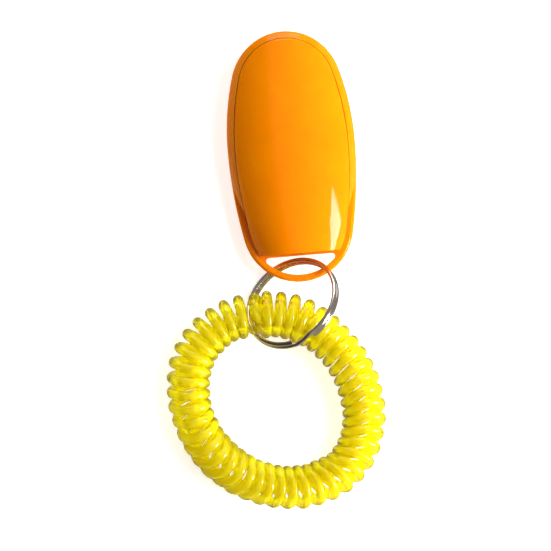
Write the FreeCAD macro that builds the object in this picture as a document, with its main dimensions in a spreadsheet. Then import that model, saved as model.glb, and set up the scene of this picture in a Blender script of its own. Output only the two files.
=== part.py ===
import FreeCAD, Part
import math
import os
import re

import Sketcher

# A dog-training clicker on a split ring and a coiled wrist band, in millimetres.
# The clicker lies on its flat underside: +Z up, +Y towards the wide end that the thumb presses,
# -Y towards the key loop. The origin is under the middle of the clicker's body, at the rest face.

V = FreeCAD.Vector
doc = FreeCAD.newDocument("clicker")

# ---------------------------------------------------------------- driving dimensions
SIZES = [
    # the body's oval outline: two end arcs joined by long side arcs
    ("body_length", 63.0), ("body_width", 32.2), ("widest_y", 2.8), ("end_radius", 14.0),
    # rim frame
    ("rim_bottom", 3.7), ("rim_top", 6.9), ("rim_width", 1.8), ("loop_bar_width", 1.8),
    ("rim_edge_round", 1.0), ("deck_end_y", -24.9), ("deck_front_y", -16.5),
    ("collar_y", 5.0), ("collar_half_length", 31.5), ("collar_edge_round", 1.2),
    ("loop_corner_round", 0.8), ("rim_boss_wall", 1.3), ("pilot_tip", 0.5),
    # base cover
    ("base_wall", 1.5), ("base_floor", 1.5), ("base_end_y", -24.1), ("base_inset", 0.05),
    ("base_edge_round", 3.3), ("base_corner_round", 5.0), ("post_wall", 1.2), ("seat_margin", 1.0),
    ("slot_width", 1.2), ("slot_length", 9.0), ("slot_spacing", 2.6), ("slot_y", 20.0),
    # press cover
    ("cover_gap", 0.13), ("cover_wall", 1.6), ("cover_top", 16.4), ("cover_end_y", -24.3),
    ("cover_bottom", 5.0), ("cover_lift", 0.3), ("dome_half_width", 16.8), ("dome_half_length", 36.0),
    ("dome_height", 11.5), ("cover_edge_round", 0.6), ("post_y", 12.0), ("post_radius", 1.8),
    # hinge
    ("pin_y", -19.0), ("pin_z", 8.7), ("pin_radius", 1.0), ("pin_length", 15.4), ("pin_play", 0.05),
    ("ear_x", 6.4), ("ear_width", 1.8), ("ear_depth", 3.4), ("lug_x", 4.2), ("lug_width", 1.8),
    # click plate and its clamp
    ("seat_top", 4.2), ("seat_back_y", -13.0), ("seat_front_y", -7.0), ("plate_width", 12.0),
    ("plate_thickness", 0.4), ("plate_front_y", 14.0), ("dimple_y", 2.0), ("dimple_radius", 3.6),
    ("dimple_height", 0.7), ("rock_room", 0.5), ("clamp_leg", 3.6), ("clamp_total", 2.1),
    ("peg_x", 3.0), ("peg_radius", 0.7), ("peg_rise", 1.3), ("peg_play", 0.4),
    ("heel_play", 0.4), ("plate_corner_round", 1.5), ("clamp_edge_round", 0.3),
    ("clamp_inset", 0.5), ("clamp_foot_margin", 0.6), ("clamp_peg_play", 0.3),
    # screws
    ("case_screw_x", 7.6), ("case_screw_y", -19.0), ("case_shank_radius", 1.1),
    ("case_head_radius", 2.0), ("case_head_height", 1.3), ("case_screw_length", 4.8),
    ("case_boss_depth", 1.2), ("shank_play", 0.15), ("head_play", 0.2), ("recess_room", 0.2),
    ("clamp_screw_x", 8.4), ("clamp_shank_radius", 0.9), ("clamp_head_radius", 1.7),
    ("clamp_head_height", 1.0), ("clamp_screw_length", 4.4), ("clamp_hole_play", 0.1),
    ("drive_slot_width", 0.4), ("drive_slot_depth", 0.6), ("drive_slot_span", 1.2),
    # split ring: two turns of wire side by side, leaning through the loop
    ("ring_outer_diameter", 25.4), ("ring_wire_diameter", 1.2), ("ring_pitch", 1.25),
    ("ring_tilt", 42.0), ("ring_high_side", -51.8), ("ring_x", -3.1), ("ring_y", -36.6),
    ("ring_ground_gap", 0.3), ("ring_cut_angle", 110.0), ("ring_jog_angle", 24.0),
    ("ring_cut_gap", 1.0),
    # wrist band: a coiled cord closed into a loop
    ("coil_outer_diameter", 11.4), ("ring_channel_play", 0.5),
]

sheet = doc.addObject("Spreadsheet::Sheet", "Sizes")
for row, (alias, value) in enumerate(SIZES, start=1):
    sheet.set("A%d" % row, alias)
    sheet.set("B%d" % row, str(value))
    sheet.setAlias("B%d" % row, alias)
doc.recompute()


def size(alias):
    """A driving dimension, read from the sheet."""
    return float(sheet.get(alias))


ALIASES = {alias for alias, _ in SIZES}
HALF_LENGTH = size("body_length") / 2
FAR = 40.0  # past every edge of the body, for the boxes that trim it
NEAR = 0.01  # how close an edge lies to the place it is looked for
RIGHT, LEFT = 1, -1
ARC_START, ARC_END, ARC_CENTRE = 1, 2, 3  # Sketcher's numbers for an arc's points
ORIGIN, POINT, Y_AXIS = -1, 1, -2  # Sketcher's numbers for the origin and the upright axis


# ---------------------------------------------------------------- small builders
def sized(expression):
    """The expression with each alias pointed at the sheet."""
    def point(match):
        word = match.group()
        return "Sizes." + word if word in ALIASES else word
    return re.sub(r"[A-Za-z_]\w*", point, str(expression))


def value(expression):
    """What an expression of the sheet comes to."""
    result = sheet.evalExpression(sized(expression))
    return float(getattr(result, "Value", result))


def bind(obj, **expressions):
    """Bind an object's properties to the sheet; a double underscore stands for a dot."""
    for name, expression in expressions.items():
        obj.setExpression(name.replace("__", "."), sized(expression))
    return obj


def box(name, x, y, z, length, width, height):
    """A box from its low corner and its sides."""
    obj = doc.addObject("Part::Box", name)
    return bind(obj, Length=length, Width=width, Height=height,
                Placement__Base__x=x, Placement__Base__y=y, Placement__Base__z=z)


def cylinder(name, x, y, z, radius, height):
    """An upright cylinder from the centre of its lower face."""
    obj = doc.addObject("Part::Cylinder", name)
    return bind(obj, Radius=radius, Height=height,
                Placement__Base__x=x, Placement__Base__y=y, Placement__Base__z=z)


def cross_bar(name, y, z, radius, length):
    """A cylinder along X, centred on x = 0."""
    obj = doc.addObject("Part::Cylinder", name)
    obj.Placement = FreeCAD.Placement(V(), FreeCAD.Rotation(V(0, 1, 0), 90))
    return bind(obj, Radius=radius, Height=length, Placement__Base__x="-(%s) / 2" % length,
                Placement__Base__y=y, Placement__Base__z=z)


def cut(name, base, tool):
    obj = doc.addObject("Part::Cut", name)
    obj.Base = base
    obj.Tool = tool
    return obj


def common(name, base, tool):
    obj = doc.addObject("Part::Common", name)
    obj.Base = base
    obj.Tool = tool
    return obj


def fuse(name, pieces):
    obj = doc.addObject("Part::MultiFuse", name)
    obj.Shapes = pieces
    obj.Refine = True
    return obj


def round_edges(name, base, radius, wanted):
    """Fillet those edges of base whose bounding box the test picks."""
    doc.recompute()
    numbers = [i for i, edge in enumerate(base.Shape.Edges, start=1) if wanted(edge.BoundBox)]
    if not numbers:
        raise RuntimeError(name + ": no edge to round")
    obj = doc.addObject("Part::Fillet", name)
    obj.Base = base
    obj.Edges = [(number, value(radius), value(radius)) for number in numbers]
    return obj


def level_at(z):
    """Picks edges that lie level at height z."""
    height = value(z)
    return lambda b: abs(b.ZMin - height) < NEAR and abs(b.ZMax - height) < NEAR


def upright_at(y):
    """Picks straight upright edges at the given y."""
    place = value(y)
    return lambda b: abs(b.YMin - place) < NEAR and b.YLength < NEAR and b.XLength < NEAR


# ---------------------------------------------------------------- the body's oval outline
def side_radius(reach):
    """Radius of a side arc that is upright at the widest point and touches an end arc."""
    half, end = value("body_width / 2"), value("end_radius")
    return (half ** 2 + (reach - end) ** 2 - end ** 2) / (2 * (half - end))


def oval_sketch(name, inset, z):
    """The outline drawn in by an inset, as six tangent arcs at height z."""
    half, end, widest = value("body_width / 2"), value("end_radius"), value("widest_y")
    drawn_in = value(inset)
    sketch = doc.addObject("Sketcher::SketchObject", name)
    bind(sketch, Placement__Base__z=z)
    end_centre = {"top": V(0, HALF_LENGTH - end, 0), "bottom": V(0, end - HALF_LENGTH, 0)}
    radius = {"top": side_radius(HALF_LENGTH - widest), "bottom": side_radius(HALF_LENGTH + widest)}

    def side_centre(which, side):
        return V(side * (half - radius[which]), widest, 0)

    def meeting(which, side):
        """Where a side arc touches an end arc."""
        way = end_centre[which] - side_centre(which, side)
        way.normalize()
        return side_centre(which, side) + way * (radius[which] - drawn_in)

    def arc(centre, arc_radius, first, last):
        """Counter-clockwise from first to last."""
        circle = Part.Circle(centre, V(0, 0, 1), arc_radius - drawn_in)
        start, stop = (math.atan2(p.y - centre.y, p.x - centre.x) for p in (first, last))
        return sketch.addGeometry(Part.ArcOfCircle(circle, start, stop))

    waist = {side: V(side * (half - drawn_in), widest, 0) for side in (RIGHT, LEFT)}
    arcs = [
        arc(side_centre("top", RIGHT), radius["top"], waist[RIGHT], meeting("top", RIGHT)),
        arc(end_centre["top"], end, meeting("top", RIGHT), meeting("top", LEFT)),
        arc(side_centre("top", LEFT), radius["top"], meeting("top", LEFT), waist[LEFT]),
        arc(side_centre("bottom", LEFT), radius["bottom"], waist[LEFT], meeting("bottom", LEFT)),
        arc(end_centre["bottom"], end, meeting("bottom", LEFT), meeting("bottom", RIGHT)),
        arc(side_centre("bottom", RIGHT), radius["bottom"], meeting("bottom", RIGHT), waist[RIGHT]),
    ]
    for this, following in zip(arcs, arcs[1:] + arcs[:1]):
        sketch.addConstraint(Sketcher.Constraint("Tangent", this, ARC_END, following, ARC_START))

    def dimension(kind, now, expression, *where):
        number = sketch.addConstraint(Sketcher.Constraint(kind, *where, now))
        sketch.setExpression("Constraints[%d]" % number, sized(expression))

    for number, which, sign in ((1, "top", ""), (4, "bottom", "-")):
        sketch.addConstraint(Sketcher.Constraint("PointOnObject", arcs[number], ARC_CENTRE, Y_AXIS))
        dimension("Radius", end - drawn_in, "end_radius - (%s)" % inset, arcs[number])
        dimension("DistanceY", end_centre[which].y, "%s(body_length / 2 - end_radius)" % sign,
                  ORIGIN, POINT, arcs[number], ARC_CENTRE)
    for number, side, sign in ((0, RIGHT, ""), (3, LEFT, "-")):
        dimension("DistanceX", waist[side].x, "%s(body_width / 2 - (%s))" % (sign, inset),
                  ORIGIN, POINT, arcs[number], ARC_START)
        dimension("DistanceY", widest, "widest_y", ORIGIN, POINT, arcs[number], ARC_START)
        dimension("DistanceY", widest, "widest_y", ORIGIN, POINT, arcs[number], ARC_CENTRE)
    return sketch


def oval_prism(name, inset, low, high):
    """The outline, drawn in by inset, as a solid between two heights."""
    obj = doc.addObject("Part::Extrusion", name)
    obj.Base = oval_sketch(name + "_outline", inset, low)
    obj.DirMode = "Custom"
    obj.Dir = V(0, 0, 1)
    obj.Solid = True
    return bind(obj, LengthFwd="(%s) - (%s)" % (high, low))


def square_ended(name, inset, low, high, end_y):
    """An oval prism cut off square at end_y."""
    beyond = box(name + "_beyond", -FAR, "(%s) - %s" % (end_y, FAR), -FAR, 2 * FAR, FAR, 2 * FAR)
    return cut(name + "_ended", oval_prism(name + "_oval", inset, low, high), beyond)


def ended_prism(name, inset, low, high, end_y, corner):
    """The same with the two corners at the square end rounded."""
    ended = square_ended(name, inset, low, high, end_y)
    return round_edges(name + "_corners", ended, corner, upright_at(end_y))


# ---------------------------------------------------------------- rim frame
def rim_collar():
    """The rim's raised wall, which carries the dome's curve on and sinks away towards the loop."""
    low = "rim_top - rim_edge_round"
    wall = cut("collar_wall", oval_prism("collar_outside", 0, low, "cover_top"),
               oval_prism("collar_inside", "rim_width", low + " - 1", "cover_top + 1"))
    cap = doc.addObject("Part::Ellipsoid", "collar_cap")
    bind(cap, Radius1="dome_height", Radius2="dome_half_width", Radius3="collar_half_length",
         Placement__Base__y="collar_y", Placement__Base__z="cover_top - dome_height")
    capped = common("collar_capped", wall, cap)
    return round_edges("rim_collar", capped, "collar_edge_round", outer_crest)


def outer_crest(b):
    """Picks the edges where the collar's outer wall meets its curved top."""
    past_middle = value("rim_width / 2")
    outside = max(b.XMax, -b.XMin) > value("body_width / 2") - past_middle or (
        b.YMax > HALF_LENGTH - past_middle)
    runs_along = b.YLength > NEAR
    return outside and runs_along and b.ZMax > value("rim_top + 1")


def rim_frame():
    """The body's rim, its deck at the narrow end and the key loop, in one moulding."""
    whole = oval_prism("rim_whole", 0, "rim_bottom", "rim_top")
    top = round_edges("rim_top_round", whole, "rim_edge_round", level_at("rim_top"))
    outer = round_edges("rim_low_round", top, "rim_edge_round / 2", level_at("rim_bottom"))
    opening = square_ended("rim_opening", "rim_width", "rim_bottom - 1", "rim_top + 1",
                           "deck_front_y")
    loop_oval = oval_prism("loop_oval", "loop_bar_width", "rim_bottom - 1", "rim_top + 1")
    loop_box = box("loop_box", -FAR, "deck_end_y - %s" % FAR, -FAR, 2 * FAR, FAR, 2 * FAR)
    loop_hole = common("loop_hole", loop_oval, loop_box)
    loop_round = round_edges("loop_hole_round", loop_hole, "loop_corner_round", upright_at("deck_end_y"))
    ring = cut("rim_ring", cut("rim_with_opening", outer, opening), loop_round)
    pieces = [ring, rim_collar()]
    for side, sign in (("right", ""), ("left", "-")):
        pieces.append(cylinder("frame_boss_" + side, sign + "case_screw_x", "case_screw_y",
                               "rim_bottom - case_boss_depth", "case_shank_radius + rim_boss_wall",
                               "case_boss_depth + 1"))
        x = "%sear_x - ear_width / 2" % sign
        ear_height = "pin_z - rim_top + 1"
        foot = box("ear_foot_" + side, x, "pin_y - ear_depth / 2", "rim_top - 1",
                   "ear_width", "ear_depth", ear_height)
        nose = cross_bar("ear_nose_" + side, "pin_y", "pin_z", "ear_depth / 2", "ear_width")
        bind(nose, Placement__Base__x=x)
        pieces += [foot, nose]
    solid = fuse("rim_solid", pieces)
    holes = [cross_bar("ear_hole", "pin_y", "pin_z", "pin_radius", "2 * ear_x + 2 * ear_width")]
    for side, sign in (("right", ""), ("left", "-")):
        holes.append(cylinder("frame_pilot_" + side, sign + "case_screw_x", "case_screw_y",
                              "rim_bottom - case_boss_depth - 1", "case_shank_radius",
                              "rim_top - rim_bottom + case_boss_depth + pilot_tip"))
    return cut("rim_frame", solid, fuse("rim_holes", holes))


# ---------------------------------------------------------------- base cover
def base_cover():
    """The underside: a bowl with a flat rest face, the plate's seat and the screw posts."""
    block = ended_prism("base_outer", "base_inset", 0, "rim_bottom", "base_end_y", "base_corner_round")
    outer = round_edges("base_round", block, "base_edge_round", level_at(0))
    hollow = ended_prism("base_inner", "base_wall", "base_floor", "rim_bottom + 1",
                         "base_end_y + base_wall", "base_corner_round - base_wall")
    inner = round_edges("base_inner_round", hollow, "base_edge_round - base_wall",
                        level_at("base_floor"))
    pieces = [cut("base_bowl", outer, inner)]
    seat_half = "(plate_width / 2 + clamp_leg + seat_margin)"
    pieces.append(box("plate_seat", "-" + seat_half, "seat_back_y", "base_floor / 2",
                      "2 * %s" % seat_half, "seat_front_y - seat_back_y",
                      "seat_top - base_floor / 2"))
    holes = []
    for side, sign in (("right", ""), ("left", "-")):
        pieces.append(cylinder("locating_peg_" + side, sign + "peg_x",
                               "(seat_back_y + seat_front_y) / 2", "seat_top - 1", "peg_radius",
                               "plate_thickness + peg_rise"))
        pieces.append(cylinder("case_post_" + side, sign + "case_screw_x", "case_screw_y",
                               "base_floor / 2", "case_head_radius + post_wall",
                               "rim_bottom - case_boss_depth - base_floor / 2"))
        holes.append(cylinder("case_hole_" + side, sign + "case_screw_x", "case_screw_y", -1,
                              "case_shank_radius + shank_play", "rim_bottom"))
        holes.append(cylinder("case_recess_" + side, sign + "case_screw_x", "case_screw_y", -1,
                              "case_head_radius + head_play",
                              "case_head_height + recess_room + 1"))
        holes.append(cylinder("clamp_pilot_" + side, sign + "clamp_screw_x",
                              "(seat_back_y + seat_front_y) / 2",
                              "seat_top + clamp_total - clamp_screw_length",
                              "clamp_shank_radius", "clamp_screw_length"))
    for number in (-1, 0, 1):
        slot_x = "%d * slot_spacing" % number
        holes.append(box("sound_slot_%d" % (number + 2), slot_x + " - slot_width / 2",
                         "slot_y - slot_length / 2", -1, "slot_width", "slot_length", "base_floor + 2"))
    return cut("base_cover", fuse("base_solid", pieces), fuse("base_holes", holes))


# ---------------------------------------------------------------- press cover
def dome(name, inset, end_y, drop, low):
    """An oval prism under a broad ellipsoid; drop lowers and shrinks it to make the inside."""
    wall = square_ended(name + "_wall", inset, low, "cover_top + 2", end_y)
    cap = doc.addObject("Part::Ellipsoid", name + "_cap")
    bind(cap, Radius1="dome_height - (%s)" % drop, Radius2="dome_half_width - (%s)" % drop,
         Radius3="dome_half_length - (%s)" % drop, Placement__Base__y="widest_y",
         Placement__Base__z="cover_top - dome_height")
    return common(name + "_capped", wall, cap)


def shoulder(b):
    """Picks the edge where the dome meets its side wall, short of the square end."""
    return b.ZMin > value("cover_bottom + 1") and b.ZMax < value("cover_top - 1") and (
        b.YMax > value("cover_end_y + 0.1"))


def press_cover():
    """The whole domed top, which pivots at the narrow end and is the button."""
    inset = "(rim_width + cover_gap)"
    outer_block = dome("cover_outer", inset, "cover_end_y", 0, "cover_bottom")
    outer = round_edges("cover_outer_round", outer_block, "cover_edge_round", shoulder)
    inner_block = dome("cover_inner", inset + " + cover_wall", "cover_end_y + cover_wall",
                       "cover_wall", "cover_bottom - 1")
    over_deck = box("cover_deck_room", -FAR, "cover_end_y - 1", 0, 2 * FAR,
                    "deck_front_y - cover_end_y + 1 + cover_lift", "rim_top + cover_lift")
    shell = cut("cover_shell", cut("cover_hollow", outer, inner_block), over_deck)
    pieces = [shell]
    inside = doc.getObject("cover_outer_cap")
    post = cylinder("cover_post", 0, "post_y", "seat_top + plate_thickness + cover_lift",
                    "post_radius", "cover_top - seat_top")
    pieces.append(common("cover_post_trimmed", post, inside))
    for side, sign in (("right", ""), ("left", "-")):
        x = "%slug_x - lug_width / 2" % sign
        lug = box("lug_web_" + side, x, "pin_y - ear_depth / 2", "pin_z", "lug_width",
                  "ear_depth", "cover_top - pin_z")
        nose = cross_bar("lug_nose_" + side, "pin_y", "pin_z", "ear_depth / 2", "lug_width")
        bind(nose, Placement__Base__x=x)
        pieces.append(common("lug_trimmed_" + side, lug, inside))
        pieces.append(nose)
    bore = cross_bar("lug_bore", "pin_y", "pin_z", "pin_radius + pin_play", "2 * ear_x")
    return cut("press_cover", fuse("cover_solid", pieces), bore)


# ---------------------------------------------------------------- hinge pin
def hinge_pin():
    """A plain steel pin with chamfered ends."""
    pin = cross_bar("pin_blank", "pin_y", "pin_z", "pin_radius", "pin_length")
    doc.recompute()
    obj = doc.addObject("Part::Chamfer", "hinge_pin")
    obj.Base = pin
    chamfer = 0.25
    ends = [i for i, edge in enumerate(pin.Shape.Edges, start=1) if edge.BoundBox.XLength < NEAR]
    obj.Edges = [(number, chamfer, chamfer) for number in ends]
    return obj


# ---------------------------------------------------------------- click plate and clamp
def click_plate():
    """A spring-steel tongue with a pressed dimple and two locating holes at its heel."""
    blank = box("plate_blank", "-plate_width / 2", "seat_back_y + heel_play", "seat_top",
                "plate_width", "plate_front_y - seat_back_y - heel_play", "plate_thickness")
    cornered = round_edges("plate_corners", blank, "plate_corner_round", upright_at("plate_front_y"))
    radius = "((dimple_radius ^ 2 + dimple_height ^ 2) / (2 * dimple_height))"
    ball = doc.addObject("Part::Sphere", "dimple_ball")
    hollow = doc.addObject("Part::Sphere", "dimple_hollow")
    level = "seat_top + plate_thickness + dimple_height - %s" % radius
    for sphere, less in ((ball, "0"), (hollow, "plate_thickness")):
        bind(sphere, Radius="%s - %s" % (radius, less), Placement__Base__y="dimple_y",
             Placement__Base__z=level)
    above = box("dimple_above", "-plate_width / 2", "dimple_y - plate_width / 2", "seat_top",
                "plate_width", "plate_width", "4 * dimple_height")
    bump = common("dimple_bump", ball, above)
    holes = [hollow]
    for side, sign in (("right", ""), ("left", "-")):
        holes.append(cylinder("peg_hole_" + side, sign + "peg_x",
                              "(seat_back_y + seat_front_y) / 2", "seat_top - 1",
                              "peg_radius + peg_play", 3))
    return cut("click_plate", fuse("plate_domed", [cornered, bump]), fuse("plate_holes", holes))


def plate_clamp():
    """A bridge over the plate's heel, standing on two legs beside it."""
    half = "(plate_width / 2 + clamp_leg + clamp_foot_margin)"
    depth = "(seat_front_y - seat_back_y - 2 * clamp_inset)"
    bar = box("clamp_bar", "-" + half, "seat_back_y + clamp_inset", "seat_top", "2 * " + half, depth,
              "clamp_total")
    room = box("clamp_room", "-plate_width / 2 - heel_play", "seat_back_y", "seat_top - 1",
               "plate_width + 2 * heel_play", "seat_front_y - seat_back_y", "plate_thickness + rock_room + 1")
    bridge = cut("clamp_bridge", bar, room)
    eased = round_edges("clamp_eased", bridge, "clamp_edge_round", level_at("seat_top + clamp_total"))
    holes = []
    for side, sign in (("right", ""), ("left", "-")):
        holes.append(cylinder("clamp_hole_" + side, sign + "clamp_screw_x",
                              "(seat_back_y + seat_front_y) / 2", "seat_top - 1",
                              "clamp_shank_radius + clamp_hole_play", "clamp_total + 2"))
        holes.append(cylinder("clamp_peg_room_" + side, sign + "peg_x",
                              "(seat_back_y + seat_front_y) / 2", "seat_top - 1",
                              "peg_radius + clamp_peg_play", "clamp_total + 2"))
    return cut("plate_clamp", eased, fuse("clamp_holes", holes))


# ---------------------------------------------------------------- screws
def screw(name, x, y, seat, up, shank, head, head_height, length):
    """A pan-head screw: the head's under side is at seat, and up is +1 or -1 for the head."""
    low = seat if up > 0 else "%s - %s" % (seat, head_height)
    head_blank = cylinder(name + "_head", x, y, low, head, head_height)
    outer_level = "%s + %d * %s" % (seat, up, head_height)
    domed = round_edges(name + "_domed", head_blank, "(%s) * 0.45" % head_height,
                        level_at(outer_level))
    shank_low = "%s - %s" % (seat, length) if up > 0 else seat
    stem = cylinder(name + "_stem", x, y, shank_low, shank, length)
    slot_low = outer_level + (" - drive_slot_depth" if up > 0 else "")
    arm = "(%s * drive_slot_span)" % head
    cross = fuse(name + "_cross", [
        box(name + "_cross_x", "%s - %s / 2" % (x, arm), "%s - drive_slot_width / 2" % y, slot_low,
            arm, "drive_slot_width", "drive_slot_depth"),
        box(name + "_cross_y", "%s - drive_slot_width / 2" % x, "%s - %s / 2" % (y, arm), slot_low,
            "drive_slot_width", arm, "drive_slot_depth"),
    ])
    return cut(name, fuse(name + "_solid", [domed, stem]), cross)


def screw_pair(name, x, y, *rest):
    """The same screw on both sides, as one group of two solids."""
    group = doc.addObject("Part::Compound", name)
    group.Links = [screw(name + "_right", x, y, *rest), screw(name + "_left", "-" + x, y, *rest)]
    return group


# ---------------------------------------------------------------- split ring
def ring_frame():
    """The ring's placement: tilted, its high side over the band, just clear of the ground."""
    tilt, towards = math.radians(size("ring_tilt")), math.radians(size("ring_high_side"))
    mid_radius = (size("ring_outer_diameter") - size("ring_wire_diameter")) / 2
    rise = V(math.cos(towards) * math.cos(tilt), math.sin(towards) * math.cos(tilt), math.sin(tilt))
    along = V(-math.sin(towards), math.cos(towards), 0)
    low = mid_radius * math.sin(tilt) + size("ring_wire_diameter") / 2
    low += size("ring_pitch") / 2 * math.cos(tilt) + size("ring_ground_gap")
    centre = V(size("ring_x"), size("ring_y"), low)
    return FreeCAD.Placement(centre, FreeCAD.Rotation(along, rise, along.cross(rise), "XYZ"))


def ring_section(mid_radius, angle, height):
    """The wire's round section at an angle round the ring, as a closed wire."""
    turn = math.radians(angle)
    centre = V(mid_radius * math.cos(turn), mid_radius * math.sin(turn), height)
    tangent = V(-math.sin(turn), math.cos(turn), 0)
    return Part.Wire(Part.makeCircle(size("ring_wire_diameter") / 2, centre, tangent))


def split_ring():
    """Two flat turns of wire side by side, joined by a short jog between the two cut ends."""
    mid_radius = (size("ring_outer_diameter") - size("ring_wire_diameter")) / 2
    pitch, jog, middle = size("ring_pitch"), size("ring_jog_angle"), size("ring_cut_angle")
    cut_gap = size("ring_cut_gap")
    jog_from, jog_to = middle - jog / 2, middle + jog / 2
    flat_turn = 360 - jog - cut_gap
    z_axis = V(0, 0, 1)
    first = Part.Face(ring_section(mid_radius, jog_from - flat_turn, -pitch / 2))
    second = Part.Face(ring_section(mid_radius, jog_to, pitch / 2))
    turns = [face.revolve(V(), z_axis, flat_turn) for face in (first, second)]
    steps = 8
    sections = []
    for step in range(steps + 1):
        share = step / steps
        eased = share * share * (3 - 2 * share)
        sections.append(ring_section(mid_radius, jog_from + jog * share, pitch * (eased - 0.5)))
    link = Part.makeLoft(sections, True)
    obj = doc.addObject("Part::Feature", "split_ring")
    obj.Shape = turns[0].multiFuse([turns[1], link]).removeSplitter()
    obj.Placement = ring_frame()
    wire_length = math.radians(2 * flat_turn + jog) * mid_radius
    section_area = math.pi * size("ring_wire_diameter") ** 2 / 4
    print("split_ring: length %.1f, volume %.1f against %.1f" % (
        wire_length, obj.Shape.Volume, wire_length * section_area))
    return obj


# ---------------------------------------------------------------- wrist band
# The band's centreline, through hand-placed corners that a closed chain of tangent arcs rounds off.
BAND_CORNERS = [
    V(12.0, -57.2, 0), V(7.3, -48.1, 0), V(-0.1, -41.1, 0), V(-10.3, -38.3, 0), V(-21.3, -39.8, 0),
    V(-29.7, -47.6, 0), V(-31.6, -58.8, 0), V(-28.8, -69.1, 0), V(-22.5, -77.0, 0),
    V(-13.8, -82.2, 0), V(-2.8, -83.7, 0), V(8.2, -79.0, 0), V(13.2, -68.3, 0),
]


def band_path(corners):
    """The arcs that round the corners: radius 0.45 x the shorter run / tan(half the turn).

    Each arc is its first, middle and last points, and straight runs join one arc to the next.
    """
    count = len(corners)
    arcs, radii = [], []
    for i, corner in enumerate(corners):
        before, after = corners[i - 1] - corner, corners[(i + 1) % count] - corner
        shorter = min(before.Length, after.Length)
        turn = math.pi - before.getAngle(after)
        setback = 0.45 * shorter
        radii.append(setback / math.tan(turn / 2))
        first = corner + before * (setback / before.Length)
        last = corner + after * (setback / after.Length)
        middle = first + last - corner * 2
        middle.normalize()
        sagitta = radii[-1] / math.cos(turn / 2) - radii[-1]
        arcs.append((first, corner + middle * sagitta, last))
    return arcs, radii


def wrist_coil():
    """The coiled band's outer shape: one fat tube, with a channel where the ring runs through."""
    arcs, radii = band_path([corner + V(0, 0, size("coil_outer_diameter") / 2)
                             for corner in BAND_CORNERS])
    print("wrist_coil: arc radii " + ", ".join("%.1f" % radius for radius in radii))
    tube_radius = size("coil_outer_diameter") / 2
    solids, length = [], 0.0
    for i, (first, middle, last) in enumerate(arcs):
        bend = Part.Arc(first, middle, last).toShape()
        tangent = bend.tangentAt(bend.FirstParameter)
        disc = Part.Face(Part.Wire(Part.makeCircle(tube_radius, first, tangent)))
        centre, axis = bend.Curve.Center, bend.Curve.Axis
        swept = math.degrees(bend.Length / bend.Curve.Radius)
        solids.append(disc.revolve(centre, axis, swept))
        following = arcs[(i + 1) % len(arcs)][0]
        run = following - last
        solids.append(Part.makeCylinder(tube_radius, run.Length, last, run))
        length += bend.Length + run.Length
    tube = solids[0].multiFuse(solids[1:]).removeSplitter()
    area = math.pi * tube_radius ** 2
    print("wrist_coil: length %.1f, volume %.0f against %.0f" % (length, tube.Volume, length * area))
    mid_radius = (size("ring_outer_diameter") - size("ring_wire_diameter")) / 2
    reach = size("ring_wire_diameter") / 2 + size("ring_channel_play")
    depth = reach + size("ring_pitch") / 2
    outer = Part.makeCylinder(mid_radius + reach, 2 * depth, V(0, 0, -depth))
    inner = Part.makeCylinder(mid_radius - reach, 2 * depth, V(0, 0, -depth))
    channel = outer.cut(inner)
    channel.Placement = ring_frame()
    obj = doc.addObject("Part::Feature", "wrist_coil")
    obj.Shape = tube.cut(channel)
    print("wrist_coil: %d solids, channel %.0f mm3" % (len(obj.Shape.Solids),
                                                       tube.Volume - obj.Shape.Volume))
    return obj


# ---------------------------------------------------------------- build, check and write
parts = [
    rim_frame(),
    base_cover(),
    press_cover(),
    hinge_pin(),
    click_plate(),
    plate_clamp(),
    screw_pair("case_screws", "case_screw_x", "case_screw_y", "case_head_height + recess_room", -1,
               "case_shank_radius", "case_head_radius", "case_head_height", "case_screw_length"),
    screw_pair("plate_clamp_screws", "clamp_screw_x", "(seat_back_y + seat_front_y) / 2",
               "seat_top + clamp_total", 1, "clamp_shank_radius", "clamp_head_radius",
               "clamp_head_height", "clamp_screw_length"),
    split_ring(),
    wrist_coil(),
]
doc.recompute()

for obj in doc.Objects:
    if any(word in str(obj.State) for word in ("Invalid", "Error")):
        raise RuntimeError("%s failed: %s" % (obj.Name, obj.State))
for part in parts:
    if part.Shape.isNull() or not part.Shape.isValid() or not part.Shape.Solids:
        raise RuntimeError(part.Label + " has no valid solid")

os.makedirs("parts", exist_ok=True)
for part in parts:
    b = part.Shape.BoundBox
    print("%-20s %2d solids %9.1f mm3  x %.1f..%.1f y %.1f..%.1f z %.2f..%.2f" % (
        part.Label, len(part.Shape.Solids), part.Shape.Volume,
        b.XMin, b.XMax, b.YMin, b.YMax, b.ZMin, b.ZMax))
    part.Shape.exportStep("parts/%s.step" % part.Label)
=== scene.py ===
import math

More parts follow.
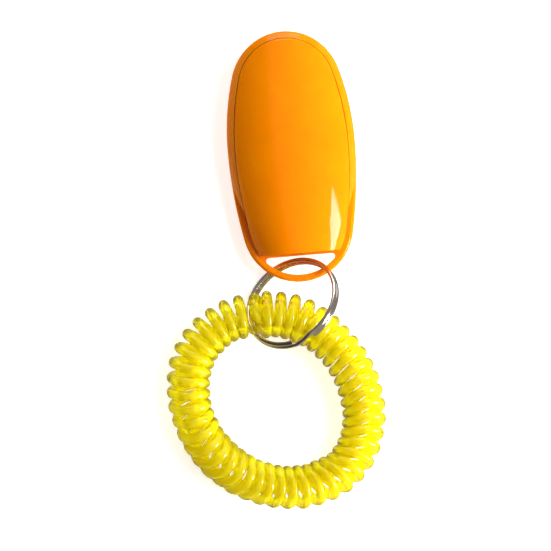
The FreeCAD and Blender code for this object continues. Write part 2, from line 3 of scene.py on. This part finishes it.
import bpy
import numpy as np
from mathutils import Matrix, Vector


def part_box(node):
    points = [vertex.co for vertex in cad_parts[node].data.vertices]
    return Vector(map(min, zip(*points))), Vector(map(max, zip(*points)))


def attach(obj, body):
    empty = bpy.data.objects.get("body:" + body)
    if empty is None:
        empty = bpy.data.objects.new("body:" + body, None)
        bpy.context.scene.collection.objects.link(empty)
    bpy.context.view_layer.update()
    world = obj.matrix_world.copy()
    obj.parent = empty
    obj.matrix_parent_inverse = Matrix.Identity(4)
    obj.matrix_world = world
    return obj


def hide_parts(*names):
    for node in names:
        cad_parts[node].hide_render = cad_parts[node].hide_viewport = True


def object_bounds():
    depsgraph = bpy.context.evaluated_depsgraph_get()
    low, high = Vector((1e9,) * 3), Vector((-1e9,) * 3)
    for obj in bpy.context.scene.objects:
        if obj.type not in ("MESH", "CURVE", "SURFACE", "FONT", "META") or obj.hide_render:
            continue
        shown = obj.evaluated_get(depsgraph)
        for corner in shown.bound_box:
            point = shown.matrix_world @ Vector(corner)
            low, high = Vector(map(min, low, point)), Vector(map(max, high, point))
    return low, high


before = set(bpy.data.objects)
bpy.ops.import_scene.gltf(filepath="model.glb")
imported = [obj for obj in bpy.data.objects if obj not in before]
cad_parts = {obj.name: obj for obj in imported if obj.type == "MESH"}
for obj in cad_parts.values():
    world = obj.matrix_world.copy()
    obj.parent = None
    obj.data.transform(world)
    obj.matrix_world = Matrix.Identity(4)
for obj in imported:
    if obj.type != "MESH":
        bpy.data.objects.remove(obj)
cad_low, cad_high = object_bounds()

MM = 0.001

# ------------------------------------------------------------------ places read from the frame
body_low, body_high = (Vector(corner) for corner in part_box("rim_frame"))
coil_low, coil_high = (Vector(corner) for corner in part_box("wrist_coil"))
body_middle = (body_low + body_high) / 2
body_length = body_high.y - body_low.y

# ------------------------------------------------------------------ camera
# It looks straight down, turned a little so that the body leans to the left at its wide end.
CAMERA_HEIGHT = 600 * MM
LEAN = math.radians(4.8)
VIEW_WIDTH = 2.205 * body_length  # what the frame takes in at the height of the rim
VIEW_CENTRE = body_middle + Vector((-6.7, -29.4, 0)) * MM
SENSOR_WIDTH = 36.0
CLIP_START = 10 * MM


def add_camera():
    """The scene's camera, straight above the middle of the view."""
    data = bpy.data.cameras.new("camera")
    data.sensor_width = SENSOR_WIDTH
    reach = CAMERA_HEIGHT - body_middle.z
    data.lens = SENSOR_WIDTH * reach / VIEW_WIDTH
    data.clip_start = CLIP_START
    camera = bpy.data.objects.new("camera", data)
    camera.location = (VIEW_CENTRE.x, VIEW_CENTRE.y, CAMERA_HEIGHT)
    camera.rotation_euler = (0, 0, -LEAN)
    bpy.context.collection.objects.link(camera)
    bpy.context.scene.camera = camera


add_camera()

# ------------------------------------------------------------------ the wrist coil's cord
# The band's route: the corners of its outer tube's path, begun and ended between the two corners
# by the split ring, where the cord's ends are welded together.
BAND_CORNERS = [
    (12.0, -57.2), (7.3, -48.1), (-0.1, -41.1), (-10.3, -38.3), (-21.3, -39.8), (-29.7, -47.6),
    (-31.6, -58.8), (-28.8, -69.1), (-22.5, -77.0), (-13.8, -82.2), (-2.8, -83.7), (8.2, -79.0),
    (13.2, -68.3),
]
WELD_AFTER = 3  # the weld lies between this corner and the one before
CORD_DIAMETER = 2.6 * MM
TURNS = 44
POINTS_PER_TURN = 24
HELIX_RADIUS = 4.35 * MM
FIRST_TIP = 0.36  # of a turn, from the weld to the outermost point of the first turn
ROUTE_RESOLUTION = 24
CORD_RESOLUTION = 2
CORD_BEVEL = 5

# How the turns stand round the band: a level, and bumps on it as (amount, bearing, width), with
# the angles in degrees. Turns on the right lean along the band, those at the lower left lie over,
# at the top left each one's lower half hides under its upper half, and those by the ring are longer.
LEAN_LEVEL, LEAN_BUMPS = 0.08, [(0.32, -25, 60)]
FLOP_LEVEL, FLOP_BUMPS = 0.3, [(-0.43, 110, 75), (0.4, -140, 35)]
SIZE_LEVEL, SIZE_BUMPS = 1.0, [(0.07, 72, 28)]
SIZE_WAVES = [(0.02, 5, 1), (0.012, 17, 0)]  # amount, waves round the band, start in radians


def route_points():
    """The closed band's route as an open list that starts and ends at the weld."""
    corners = [Vector((x, y, 0)) * MM for x, y in BAND_CORNERS]
    weld = (corners[WELD_AFTER] + corners[WELD_AFTER - 1]) / 2
    around = corners[WELD_AFTER:] + corners[:WELD_AFTER]
    height = (coil_low.z + coil_high.z) / 2
    return [point + Vector((0, 0, height)) for point in [weld] + around + [weld]]


def spline_line(points):
    """Points along the NURBS spline of a route."""
    data = bpy.data.curves.new("route", "CURVE")
    data.dimensions = "3D"
    spline = data.splines.new("NURBS")
    spline.points.add(len(points) - 1)
    for spot, point in zip(spline.points, points):
        spot.co = (*point, 1)
    spline.order_u = 3
    spline.use_endpoint_u = True
    spline.resolution_u = ROUTE_RESOLUTION
    holder = bpy.data.objects.new("route", data)
    mesh = bpy.data.meshes.new_from_object(holder)
    line = np.array([vertex.co[:] for vertex in mesh.vertices])
    bpy.data.objects.remove(holder)
    bpy.data.meshes.remove(mesh)
    bpy.data.curves.remove(data)
    return line


def resample(line, count):
    """count points evenly spaced along a line, and the line's directions there."""
    steps = np.linalg.norm(np.diff(line, axis=0), axis=1)
    travelled = np.concatenate([[0], np.cumsum(steps)])
    wanted = np.linspace(0, travelled[-1], count)
    points = np.stack([np.interp(wanted, travelled, line[:, k]) for k in range(3)], axis=1)
    ahead = np.roll(points[:-1], -1, axis=0) - np.roll(points[:-1], 1, axis=0)
    ahead = np.vstack([ahead, ahead[:1]])
    return points, ahead / np.linalg.norm(ahead, axis=1)[:, None]


def helix_points(line):
    """The cord's turns round the route, leaning and crowding as they do round the band."""
    count = TURNS * POINTS_PER_TURN + 1
    core, along = resample(line, count)
    middle = core[:-1].mean(axis=0)
    side = np.stack([along[:, 1], -along[:, 0], np.zeros(count)], axis=1)
    outward = np.sign(((core - middle) * side).sum(axis=1))[:, None] * side
    share = np.linspace(0, 1, count)
    phase = 2 * math.pi * (TURNS * share - FIRST_TIP)
    bearing = np.arctan2(core[:, 1] - middle[1], core[:, 0] - middle[0])
    lean = with_bumps(bearing, LEAN_LEVEL, LEAN_BUMPS)[:, None]
    flop = with_bumps(bearing, FLOP_LEVEL, FLOP_BUMPS)[:, None]
    size = with_bumps(bearing, SIZE_LEVEL, SIZE_BUMPS)
    size += sum(amount * np.sin(waves * bearing + start) for amount, waves, start in SIZE_WAVES)
    radius = HELIX_RADIUS * size[:, None]
    out, up = np.cos(phase)[:, None], np.sin(phase)[:, None]
    points = core + radius * (out * outward + up * np.array([0, 0, 1]))
    points += radius * (lean * out + flop * up) * along
    return points


def with_bumps(bearing, level, bumps):
    """A level with smooth bumps on it, each of which has fallen to a third one width away."""
    total = np.full(len(bearing), level)
    for amount, centre, width in bumps:
        off = (np.degrees(bearing) - centre + 180) % 360 - 180
        total += amount * np.exp(-(off / width) ** 2)
    return total


RING_POINTS = 360


def ring_line():
    """Points along the middle of the split ring's wire pair, read from its mesh."""
    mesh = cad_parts["split_ring"].data
    spots = np.array([vertex.co[:] for vertex in mesh.vertices])
    centre = spots.mean(axis=0)
    axes = np.linalg.svd(spots - centre, full_matrices=False)[2]
    across = spots @ axes[0]
    up = spots @ axes[1]
    centre = (axes[0] * (across.min() + across.max()) / 2 + axes[1] * (up.min() + up.max()) / 2
              + axes[2] * (spots @ axes[2]).mean())
    radius = np.linalg.norm((spots - centre) @ axes[:2].T, axis=1)
    mid_radius = (radius.min() + radius.max()) / 2
    turn = np.linspace(0, 2 * math.pi, RING_POINTS, endpoint=False)
    return centre + mid_radius * (np.cos(turn)[:, None] * axes[0] + np.sin(turn)[:, None] * axes[1])


RING_ROOM = 2.6 * MM  # from the middle of the wire pair to the cord's centreline
TURN_ROOM = 2.5 * MM  # between two turns' centrelines
ROUNDS = 60
HOME_PULL = 0.03  # how much of the way back to its first place a point goes in each round
TURN_STIFFNESS = 0.12  # how much of what two turns lack in room is made up in each round
NEIGHBOUR_SHARE = 0.2  # what the smoothing takes from each of the two points beside a point
STEEP = 0.25  # how far up a point has to be, against its distance, to lie above the ring
SIDE_SHARE = 0.3  # how much of its sideways push such a point keeps
TINY = 1e-9  # keeps a point's distance from itself off zero


def settle(points, ring):
    """Moves the turns clear of the ring, the ground and each other, and keeps them round."""
    loop = points[:-1].copy()
    home = loop.copy()
    number = np.arange(len(loop))
    gap = np.abs(number[:, None] - number[None, :])
    apart = np.minimum(gap, len(loop) - gap) > POINTS_PER_TURN // 2
    lowest = CORD_DIAMETER / 2 + coil_low.z
    # the smoothing shrinks each turn by this much, which is given back
    shrink = 1 - 2 * NEIGHBOUR_SHARE * (1 - math.cos(2 * math.pi / POINTS_PER_TURN))
    for _ in range(ROUNDS):
        push = HOME_PULL * (home - loop)
        push += TURN_STIFFNESS * turn_push(loop, apart)
        push += ring_push(loop, ring)
        loop = loop + push
        beside = np.roll(loop, 1, axis=0) + np.roll(loop, -1, axis=0)
        smooth = (1 - 2 * NEIGHBOUR_SHARE) * loop + NEIGHBOUR_SHARE * beside
        middle = running_mean(loop)
        loop = middle + (smooth - middle) / shrink
        loop[:, 2] = np.maximum(loop[:, 2], lowest)
    return np.vstack([loop, loop[:1]])


def turn_push(loop, apart):
    """How far each point is pushed by points of other turns that are too near."""
    between = loop[:, None, :] - loop[None, :, :]
    span = np.linalg.norm(between, axis=2) + TINY
    tight = apart & (span < TURN_ROOM)
    return (np.where(tight, (TURN_ROOM - span) / span, 0)[:, :, None] * between).sum(axis=1)


def ring_push(loop, ring):
    """How far each point is pushed by the ring, upwards rather than sideways if it lies above."""
    away = loop[:, None, :] - ring[None, :, :]
    reach = np.linalg.norm(away, axis=2)
    nearest = reach.argmin(axis=1)
    number = np.arange(len(loop))
    distance, way = reach[number, nearest], away[number, nearest]
    above = way[:, 2] > STEEP * distance
    way[above, :2] *= SIDE_SHARE
    way /= np.linalg.norm(way, axis=1)[:, None]
    return np.maximum(RING_ROOM - distance, 0)[:, None] * way


def running_mean(loop):
    """Each point's average over one whole turn round it."""
    half = POINTS_PER_TURN // 2
    total = sum(np.roll(loop, shift, axis=0) for shift in range(1 - half, half))
    total = total + (np.roll(loop, half, axis=0) + np.roll(loop, -half, axis=0)) / 2
    return total / POINTS_PER_TURN


def add_cord(points):
    """The cord itself: a round bevel along the settled turns, on the band's body."""
    data = bpy.data.curves.new("coil_cord", "CURVE")
    data.dimensions = "3D"
    spline = data.splines.new("NURBS")
    spline.points.add(len(points) - 1)
    for spot, point in zip(spline.points, points):
        spot.co = (*point, 1)
        spot.radius = CORD_DIAMETER / 2  # on a bevel of depth 1, so that the curve's box is true
    spline.order_u = 3
    spline.use_endpoint_u = True
    spline.resolution_u = CORD_RESOLUTION
    data.bevel_depth = 1
    data.bevel_resolution = CORD_BEVEL
    data.use_fill_caps = True
    cord = bpy.data.objects.new("coil_cord", data)
    bpy.context.collection.objects.link(cord)
    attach(cord, "band")
    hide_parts("wrist_coil")
    return cord


turns = settle(helix_points(spline_line(route_points())), ring_line())
coil = add_cord(turns)


# ------------------------------------------------------------------ materials
def material(name):
    """A new node material, its Principled shader and its node tree."""
    made = bpy.data.materials.new(name)
    made.use_nodes = True
    return made, made.node_tree.nodes["Principled BSDF"], made.node_tree


def set_sockets(shader, **values):
    """Sets the shader's own sockets; a name's underscores stand for spaces."""
    for name, value in values.items():
        shader.inputs[name.replace("_", " ")].default_value = value


def noise(tree, scale, detail, distortion=0.0):
    """A noise texture in the object's own coordinates."""
    place = tree.nodes.new("ShaderNodeTexCoord")
    texture = tree.nodes.new("ShaderNodeTexNoise")
    texture.inputs["Scale"].default_value = scale
    texture.inputs["Detail"].default_value = detail
    texture.inputs["Distortion"].default_value = distortion
    tree.links.new(place.outputs["Object"], texture.inputs["Vector"])
    return texture


def ramp(tree, factor, stops):
    """A colour ramp from a factor socket; stops are (position, colour)."""
    node = tree.nodes.new("ShaderNodeValToRGB")
    for spot, (position, colour) in zip(node.color_ramp.elements, stops):
        spot.position = position
        spot.color = colour
    tree.links.new(factor, node.inputs["Fac"])
    return node.outputs["Color"]


def spread(tree, factor, low, high):
    """A factor mapped onto the range low to high."""
    node = tree.nodes.new("ShaderNodeMapRange")
    node.inputs["To Min"].default_value = low
    node.inputs["To Max"].default_value = high
    tree.links.new(factor, node.inputs["Value"])
    return node.outputs["Result"]


def bump(tree, shader, height, strength, distance):
    """Relief on the shader's surface from a height socket."""
    node = tree.nodes.new("ShaderNodeBump")
    node.inputs["Strength"].default_value = strength
    node.inputs["Distance"].default_value = distance
    tree.links.new(height, node.inputs["Height"])
    tree.links.new(node.outputs["Normal"], shader.inputs["Normal"])


def orange_plastic():
    """Glossy injection-moulded plastic: faint flow mottling and a very slight ripple."""
    made, shader, tree = material("orange_plastic")
    flow = noise(tree, scale=90, detail=4, distortion=0.6)
    deep, light = (0.92, 0.225, 0, 1), (0.96, 0.245, 0, 1)
    colour = ramp(tree, flow.outputs["Fac"], [(0.35, deep), (0.7, light)])
    tree.links.new(colour, shader.inputs["Base Color"])
    fine = noise(tree, scale=1800, detail=2)
    tree.links.new(spread(tree, fine.outputs["Fac"], low=0.05, high=0.1), shader.inputs["Roughness"])
    bump(tree, shader, flow.outputs["Fac"], strength=0.05, distance=0.2 * MM)
    set_sockets(shader, Specular_IOR_Level=0.2, Subsurface_Weight=0.5)
    set_sockets(shader, Subsurface_Scale=1.5 * MM, Subsurface_Radius=(1.0, 0.3, 0.05))
    return made


STREAK_DARKNESS = 0.8  # of the steel's colour, in its darker streaks


def steel(name, colour, low, high, scale):
    """Steel with fine streaks in its polish, whose roughness runs from low to high."""
    made, shader, tree = material(name)
    set_sockets(shader, Metallic=1.0)
    streaks = noise(tree, scale, detail=5, distortion=1.5)
    darker = tuple(STREAK_DARKNESS * part for part in colour)
    tint = ramp(tree, streaks.outputs["Fac"], [(0.3, (*darker, 1)), (0.7, (*colour, 1))])
    tree.links.new(tint, shader.inputs["Base Color"])
    tree.links.new(spread(tree, streaks.outputs["Fac"], low, high), shader.inputs["Roughness"])
    bump(tree, shader, streaks.outputs["Fac"], strength=0.08, distance=0.1 * MM)
    return made


def yellow_cord():
    """Clear yellow elastomer, a little cloudy, that lets the light through."""
    made, shader, tree = material("yellow_cord")
    cloud = noise(tree, scale=220, detail=3)
    deep, light = (0.94, 0.79, 0, 1), (0.97, 0.85, 0.01, 1)
    colour = ramp(tree, cloud.outputs["Fac"], [(0.3, deep), (0.7, light)])
    tree.links.new(colour, shader.inputs["Base Color"])
    fine = noise(tree, scale=1500, detail=2)
    tree.links.new(spread(tree, fine.outputs["Fac"], low=0.05, high=0.12), shader.inputs["Roughness"])
    bump(tree, shader, cloud.outputs["Fac"], strength=0.06, distance=0.3 * MM)
    set_sockets(shader, IOR=1.48, Transmission_Weight=0.75)
    set_sockets(shader, Subsurface_Weight=0.3, Subsurface_Scale=2 * MM)
    set_sockets(shader, Subsurface_Radius=(1.0, 0.8, 0.05))
    return made


def put_on(node, made):
    """Gives a CAD node its material."""
    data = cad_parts[node].data
    data.materials.clear()
    data.materials.append(made)


shell = orange_plastic()
for node in ("rim_frame", "base_cover", "press_cover"):
    put_on(node, shell)
put_on("split_ring", steel("ring_steel", (0.72, 0.69, 0.65), low=0.08, high=0.2, scale=400))
spring = steel("spring_steel", (0.6, 0.61, 0.63), low=0.2, high=0.35, scale=300)
for node in ("click_plate", "plate_clamp"):
    put_on(node, spring)
fastener = steel("fastener_steel", (0.5, 0.5, 0.51), low=0.25, high=0.4, scale=500)
for node in ("hinge_pin", "case_screws", "plate_clamp_screws"):
    put_on(node, fastener)
coil.data.materials.append(yellow_cord())


# ------------------------------------------------------------------ floor and light
FLOOR_HALF = 1500 * MM
FLOOR_DROP = 0.05 * MM  # how far the floor lies under the object, so that the two faces don't meet


def add_floor():
    """A pale floor, faintly lit from within like a light table, so that shadows on it stay soft."""
    half = FLOOR_HALF
    data = bpy.data.meshes.new("floor")
    corners = [(-half, -half, 0), (half, -half, 0), (half, half, 0), (-half, half, 0)]
    data.from_pydata(corners, [], [(0, 1, 2, 3)])
    floor = bpy.data.objects.new("floor", data)
    floor.location = (0, 0, cad_low[2] - FLOOR_DROP)
    floor.visible_glossy = False
    bpy.context.collection.objects.link(floor)
    made, shader, tree = material("floor_white")
    set_sockets(shader, Base_Color=(0.9, 0.9, 0.9, 1), Roughness=0.8)
    set_sockets(shader, Emission_Color=(1, 1, 1, 1), Emission_Strength=0.68)
    data.materials.append(made)


def direction(azimuth, elevation):
    """The way from the body, with azimuth from +X towards +Y, in degrees."""
    turn, rise = math.radians(azimuth), math.radians(elevation)
    return Vector((math.cos(turn) * math.cos(rise), math.sin(turn) * math.cos(rise), math.sin(rise)))


def soft_light(name, azimuth, elevation, distance, side, energy, colour):
    """A broad square lamp turned to the body, which shows in no reflection."""
    data = bpy.data.lights.new(name, "AREA")
    data.size = side
    data.energy = energy
    data.color = colour
    light = bpy.data.objects.new(name, data)
    way = direction(azimuth, elevation)
    light.location = body_middle + distance * way
    light.rotation_euler = (-way).to_track_quat("-Z", "Y").to_euler()
    light.visible_glossy = False
    bpy.context.collection.objects.link(light)


def pane(name, corners, distance, strength, colour):
    """A glowing pane, whose corners lie in the given directions from the body."""
    data = bpy.data.meshes.new(name)
    places = [body_middle + distance * direction(*corner) for corner in corners]
    data.from_pydata(places, [], [tuple(range(len(places)))])
    sheet = bpy.data.objects.new(name, data)
    sheet.visible_camera = False
    bpy.context.collection.objects.link(sheet)
    made, shader, tree = material(name)
    set_sockets(shader, Base_Color=(0, 0, 0, 1))
    set_sockets(shader, Emission_Color=(*colour, 1), Emission_Strength=strength)
    data.materials.append(made)


WORLD_COLOUR = (1.0, 0.91, 0.84, 1)
WORLD_STRENGTH = 0.32


def add_world():
    """Even warm light from all round, which fills the shadows."""
    world = bpy.data.worlds.new("studio")
    world.use_nodes = True
    background = world.node_tree.nodes["Background"]
    background.inputs["Color"].default_value = WORLD_COLOUR
    background.inputs["Strength"].default_value = WORLD_STRENGTH
    bpy.context.scene.world = world


# The panes' corners, each an azimuth and an elevation. The window leaves the leaf-shaped gleam on
# the dome's right, the dark card deepens the left flank and the strip lights the ring's wire.
WINDOW = [(-13, 36), (-29, 31), (-39, 9), (-39, 2), (-22, 3)]
DARK_CARD = [(125, 48), (250, 48), (250, 2), (125, 2)]
BACK_STRIP = [(60, 30), (115, 30), (115, 8), (60, 8)]

add_floor()
add_world()
pane("window", WINDOW, distance=0.6, strength=26, colour=(1.0, 0.9, 0.86))
pane("dark_card", DARK_CARD, distance=0.9, strength=0.03, colour=(1.0, 0.45, 0.2))
pane("back_strip", BACK_STRIP, distance=0.9, strength=3, colour=(1.0, 1.0, 1.0))
soft_light("soft_key", azimuth=8, elevation=50, distance=1.1, side=0.7, energy=14.2,
           colour=(0.82, 1.0, 0.85))
bpy.context.scene.view_settings.view_transform = "Standard"
